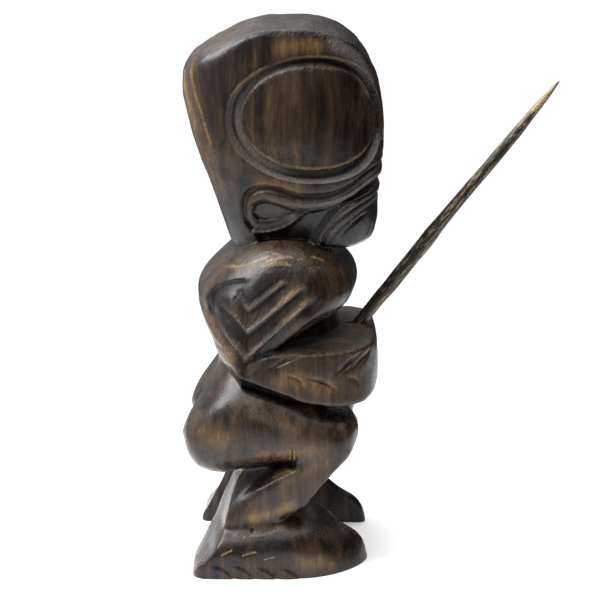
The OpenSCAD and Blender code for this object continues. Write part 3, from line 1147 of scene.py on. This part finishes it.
def stained_wood():
    """Dark stained wood with an upright grain, rubbed back to amber on its edges."""
    wood = Recipe("stained_wood")
    sway = wood.noise((45, 45, 60), 1)
    shift = wood.node("ShaderNodeCombineXYZ", {"X": wood.math("MULTIPLY", sway, 0.010),
                                               "Y": wood.math("MULTIPLY", sway, 0.014)})
    inputs = {0: wood.place, 1: shift.outputs[0]}
    bent = wood.node("ShaderNodeVectorMath", inputs, operation="ADD").outputs[0]
    fibre = wood.noise((1.0, 1.0, 16), 3, 0.65, vector=bent)
    rings = wood.noise((6, 6, 120), 3, 0.55, vector=bent)
    fleck = wood.noise((1.8, 1.8, 7.5), 3, 0.68, vector=bent)
    patch = wood.noise((26, 26, 48))
    speck = wood.noise((1.3, 1.3, 1.8), 3, 0.7)
    layers = ("gold", "amber", "rough", "pale", "edge")
    gold, amber, rough, pale, edge = (wood.layer(name) for name in layers)

    tone = wood.weighted((rings, 0.75), (fibre, 0.25), (amber, 0.16))
    tone = wood.between(tone, 0.32, 0.72)
    colour = wood.mix(tone, (0.0060, 0.0040, 0.0032), (0.053, 0.0315, 0.018))
    streak = wood.weighted((fleck, 1.1), (patch, 0.55), (rings, 0.6), (amber, 0.42))
    streak = wood.between(streak, 1.20, 2.00)
    colour = wood.coat(colour, streak, 0.62, (0.24, 0.135, 0.040))
    # Gold where the stain is rubbed through on edges; a few gold marks are also painted highlights.
    worn = wood.weighted((gold, 1.0), (edge, 0.40), (speck, 0.9), (fleck, 0.5))
    worn = wood.between(worn, 1.05, 1.85)
    colour = wood.coat(colour, worn, 0.8, (0.30, 0.185, 0.070))
    # Pale grey where rough edges are rubbed, and painted highlights and reflections, from the pale
    # layer.
    dust_and_sheen = wood.between(wood.weighted((pale, 1.0), (rough, 0.15), (speck, 0.9)), 0.60, 1.60)
    colour = wood.coat(colour, dust_and_sheen, 0.55, (0.160, 0.140, 0.122))
    # Darker in the hollows: partly dirt, partly painted shade.
    clean = wood.weighted((edge, -1.0), (speck, 0.35), (pale, -0.5), (gold, -0.5))
    dirt_and_shade = wood.between(clean, 0.24, 0.80)
    colour = wood.coat(colour, dirt_and_shade, 0.85, (0.006, 0.005, 0.005))
    gloss = wood.weighted((fibre, 0.14), (speck, 0.12), (rough, 0.14), (patch, 0.16))

    hatch = wood.noise((1.0, 4.0, 1.3), 2, 0.6, turn=(0.9, 0, 0))
    scratch = wood.math("MULTIPLY", hatch, wood.math("MULTIPLY_ADD", rough, 1.8, 0.10))
    normal = wood.bump(fibre, 0.16, 0.4)
    normal = wood.bump(scratch, 0.8, 0.9, below=normal)
    normal = wood.bump(speck, 0.16, 0.5, below=normal)
    wood.shade(Base_Color=colour, Roughness=wood.math("ADD", gloss, 0.07), Normal=normal)
    wood.shade(Specular_IOR_Level=0.30)
    return wood.material


def spear_wood():
    """Near-black palm wood with fine straw-coloured fibres along the spear."""
    wood = Recipe("spear_wood")
    lean = (math.atan2(SPEAR_AXIS[1], SPEAR_AXIS[2]), 0, 0)
    straw = wood.noise((0.85, 0.85, 8), 2, 0.7, turn=lean)
    stripe = wood.noise((2.6, 2.6, 34), turn=lean)
    pore = wood.noise((0.35, 0.35, 2.4), 2, 0.6, turn=lean)
    reach, bare, pit = (wood.layer(name) for name in ("reach", "bare", "pit"))
    tone = wood.between(stripe, 0.35, 0.68)
    colour = wood.mix(tone, (0.006, 0.005, 0.0042), (0.024, 0.017, 0.012))
    shown = wood.weighted((straw, 1.0), (stripe, 0.45), (reach, 0.07), (bare, 0.22))
    colour = wood.coat(colour, wood.between(shown, 0.76, 0.96), 0.8, (0.36, 0.265, 0.13))
    colour = wood.mix(wood.between(pore, 0.56, 0.74, 0.0, 0.8), colour, (0.006, 0.005, 0.004))
    colour = wood.mix(pit, colour, (0.003, 0.0025, 0.002))
    normal = wood.bump(pore, 0.10, 0.5, below=wood.bump(straw, 0.35, 0.8))
    rough = wood.between(straw, 0.3, 0.7, 0.38, 0.58)
    wood.shade(Base_Color=colour, Roughness=rough, Specular_IOR_Level=0.4, Normal=normal)
    return wood.material


# Radius of the spear by the distance from its butt
SPEAR_PROFILE = [
    [0, 3.2], [1.2, 3.5], [24, 3.55], [40, 3.6], [54, 3.95], [70, 4.0], [88, 4.0],
    [94, 3.6], [104, 3.4], [120, 3.2], [138, 3.0], [152, 3.05], [162, 2.9], [172, 2.5],
    [184, 1.9], [190, 1.4], [195, 0.75], [197.5, 0.35], [198, 0.12],
]
SPEAR_LENGTH = 198.0
SPEAR_BUTT_R = 3.5
SPEAR_SIDES = 36
KNOT_AT = 80.0
# The spear's rings: from, to and step, closer together at its two ends
RING_STEPS = [(0, 3, 0.4), (3, 190, 0.9), (190, 198.05, 0.35)]


def build_spear():
    """The whittled spear: a ring of facets that wander along its length, and one knot hole."""
    low, high = (np.array(corner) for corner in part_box("spear"))
    out = SPEAR_AXIS / np.linalg.norm(SPEAR_AXIS)
    butt_r = SPEAR_BUTT_R * MM
    butt = np.array([(low[0] + high[0]) / 2, high[1] - butt_r * out[2], low[2] - butt_r * out[1]])
    side = np.array([1.0, 0.0, 0.0])
    up = np.cross(out, side)
    reach = np.unique(np.concatenate([np.arange(*steps) for steps in RING_STEPS]))
    reach = np.append(reach[reach < SPEAR_LENGTH - 0.1], SPEAR_LENGTH)
    turn = np.arange(SPEAR_SIDES) * 2 * math.pi / SPEAR_SIDES
    t, a = np.meshgrid(reach, turn, indexing="ij")
    radius = curve_of(SPEAR_PROFILE, t)
    shown = smooth_step(24, 40, t) * smooth_step(198, 180, t)
    facets = np.abs(np.cos(2.5 * (a + 0.010 * t + 0.4 * np.sin(t / 21))))
    flat = np.stack([np.cos(a) * 4, np.sin(a) * 4, t / 3.2], axis=-1).reshape(-1, 3)
    wander = lumps(flat, 3.2, 11).reshape(t.shape)
    radius = radius * (1 + shown * (0.05 * (facets - 0.64) + 0.06 * wander))
    # The knot hole is on the right side, towards the figure's own right hand.
    knot_turn = np.angle(np.exp(1j * (a - math.pi)))
    pit = np.exp(-(((t - KNOT_AT) / 2.4) ** 2 + (knot_turn * 4 / 1.5) ** 2) ** 1.5)
    radius = radius - 0.9 * pit
    # The stick is a little bent.
    sway = 0.6 * np.sin(math.pi * np.clip((t - 36) / 150, 0, 1))
    sway = sway + 0.2 * np.sin(t / 13) * smooth_step(36, 60, t)
    points = (
        butt + (t[..., None] * out + (radius * np.cos(a) + sway * 0.5)[..., None] * side
                + (radius * np.sin(a) + sway)[..., None] * up) * MM
    )
    rings, sides = t.shape
    faces = []
    for i in range(rings - 1):
        for j in range(sides):
            k = (j + 1) % sides
            faces.append((i * sides + j, i * sides + k, (i + 1) * sides + k, (i + 1) * sides + j))
    faces.append(tuple(range(sides - 1, -1, -1)))
    faces.append(tuple((rings - 1) * sides + j for j in range(sides)))
    mesh = bpy.data.meshes.new("whittled_spear")
    mesh.from_pydata(points.reshape(-1, 3).tolist(), [], faces)
    smooth = np.ones(len(faces), dtype=bool)
    smooth[-2:] = False
    mesh.polygons.foreach_set("use_smooth", smooth)
    add_layer(mesh, "reach", (t / SPEAR_LENGTH).ravel())
    tip_bevel = smooth_step(172, 184, t) * smooth_step(1.5, 0.5, np.abs(knot_turn))
    add_layer(mesh, "bare", tip_bevel.ravel())
    add_layer(mesh, "pit", pit.ravel())
    mesh.materials.append(spear_wood())
    spear = add_object("whittled_spear", mesh)
    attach(spear, "loose_spear")
    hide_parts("spear")


figure = build_figure()
figure.data.materials.append(stained_wood())
build_spear()

# ---------------- floor, lights and camera


def build_floor():
    """A pale floor that fades out into the backdrop."""
    mesh = bpy.data.meshes.new("studio_floor")
    half = 1.0
    mesh.from_pydata(
        [(-half, -half, 0), (half, -half, 0), (half, half, 0), (-half, half, 0)], [], [(0, 1, 2, 3)]
    )
    floor = add_object("studio_floor", mesh)
    floor.location.z = CAD_LOW[2]
    pale = Recipe("floor_white")
    away = pale.node("ShaderNodeVectorMath", {0: pale.place}, operation="LENGTH").outputs["Value"]
    fade = pale.between(away, 0.14, 0.6, 1.0, 0.0)
    pale.shade(Base_Color=(0.9, 0.9, 0.9), Roughness=0.9, Alpha=fade)
    mesh.materials.append(pale.material)


def area_light(name, place, target, size, power, colour=(1, 1, 1)):
    """A softbox that faces a target."""
    light = bpy.data.lights.new(name, "AREA")
    light.shape = "RECTANGLE"
    light.size, light.size_y = size
    light.energy = power
    light.color = colour
    lamp = add_object(name, light)
    lamp.location = place
    direction = np.array(target) - np.array(place)
    lamp.rotation_euler = Vector(direction).to_track_quat("-Z", "Y").to_euler()


def build_lights():
    """Two softboxes, and a room that the camera sees as plain white."""
    centre = (0, AXIS_Y, 0.15)
    area_light("top_softbox", (0.05, AXIS_Y + 0.1, 1.25), centre, (2.0, 2.0), 42)
    area_light("left_softbox", (-0.18, AXIS_Y + 0.80, 1.00), centre, (0.8, 0.8), 23, (0.93, 0.95, 1))
    world = bpy.data.worlds.new("studio")
    bpy.context.scene.world = world
    room = Nodes(world)
    background = room.tree.nodes["Background"]
    # The room is lightest over the object's back.
    place = room.node("ShaderNodeTexCoord", {}).outputs["Generated"]
    inputs = {0: place, 1: (-0.10, 0.85, 0.50)}
    towards = room.node("ShaderNodeVectorMath", inputs, operation="DOT_PRODUCT").outputs["Value"]
    glow = room.between(towards, -0.1, 0.9, 0.06, 1.0, kind="LINEAR")
    seen = room.node("ShaderNodeLightPath", {}).outputs["Is Camera Ray"]
    room.put(background.inputs["Color"], (0.96, 0.96, 1))
    room.put(background.inputs["Strength"], room.between(seen, 0, 1, glow, 1.1, kind="LINEAR"))
    bpy.context.scene.view_settings.view_transform = "Standard"


def build_camera():
    """Beside the figure's right side, a little above its head and looking slightly down."""
    camera_data = bpy.data.cameras.new("camera")
    camera_data.sensor_width = 36.0
    camera_data.lens = 101.1
    camera = add_object("camera", camera_data)
    distance, height, offset = 920.0, 369.2, -26.0
    pitch, yaw = math.radians(13.83), math.radians(0.966)
    camera.location = (-distance * MM, AXIS_Y + offset * MM, height * MM)
    camera.rotation_euler = (math.pi / 2 - pitch, 0, -math.pi / 2 + yaw)
    bpy.context.scene.camera = camera


build_floor()
build_lights()
build_camera()
